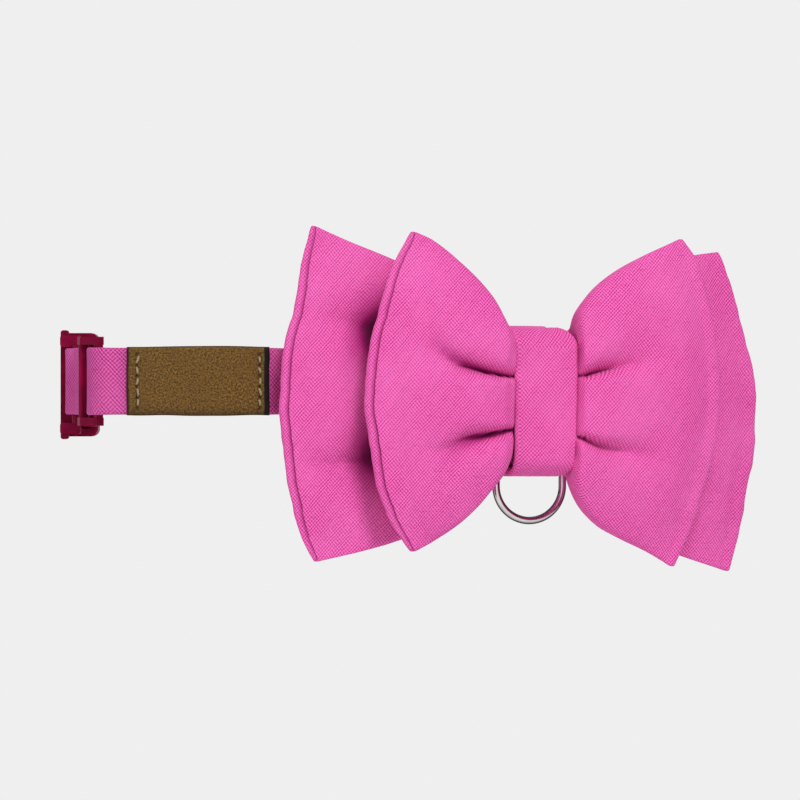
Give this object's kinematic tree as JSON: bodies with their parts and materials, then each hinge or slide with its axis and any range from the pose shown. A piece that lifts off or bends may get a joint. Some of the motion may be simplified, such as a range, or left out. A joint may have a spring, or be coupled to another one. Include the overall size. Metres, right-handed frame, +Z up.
{
  "type": "cat collar with padded bow",
  "caption": "Closed pet collar with a layered padded bow, a hanging D-ring, a leather label, a sliding adjuster and a breakaway safety buckle.",
  "frame": {"origin": "middle of the neck opening at mid-strap height, as worn", "axes": "+X along the front strap towards the viewer's right, -Y out through the bow's face, +Z up along the neck"},
  "size_m": [0.106, 0.0709, 0.0518],
  "materials": {
    "bow_cloth": "plain woven cotton, matt",
    "strap": "ribbed woven cotton, matt",
    "wadding": "polyester fibre",
    "leather": "smooth tanned leather with dark burnt edges",
    "thread": "pale sewing thread",
    "strap_thread": "matching sewing thread",
    "plastic": "moulded acetal, slightly translucent",
    "nickel": "polished nickel plate"
  },
  "bodies": {
    "root": {"strap_front": "strap", "strap_turn": "strap", "strap_rear": "strap", "strap_loop": "strap", "strap_tail": "strap", "label": "leather", "label_stitches": "thread", "prong_half": "plastic"},
    "bow": {"back_bow_cover": "bow_cloth", "back_bow_wadding": "wadding", "front_bow_cover": "bow_cloth", "front_bow_wadding": "wadding", "gather_thread": "strap_thread", "centre_band": "bow_cloth", "band_stitches": "strap_thread"},
    "ring": {"d_ring": "nickel"},
    "adjuster": {"slider": "plastic", "strap_weave": "strap"},
    "socket": {"socket_half": "plastic", "strap_rear_end": "strap", "rear_stitches": "strap_thread"}
  },
  "joints": [
    {"name": "bow_slide", "type": "slide", "parent": "root", "child": "bow", "axis": [1, 0, 0], "range_m": [-0.02, 0.015]},
    {"name": "ring_swing", "type": "hinge", "parent": "bow", "child": "ring", "pos_m": [0.0159, -0.02203, -0.01212], "axis": [1, 0, 0], "range_deg": [-8, 80]},
    {"name": "adjuster_slide", "type": "slide", "parent": "root", "child": "adjuster", "axis": [0.0523, 0.9986, 0], "range_m": [0, 0.002], "deforming": ["strap_weave"]},
    {"name": "buckle_release", "type": "slide", "parent": "root", "child": "socket", "axis": [0.2756, 0.9613, 0], "range_m": [0, 0.011], "deforming": ["strap_rear_end"]}
  ]
}
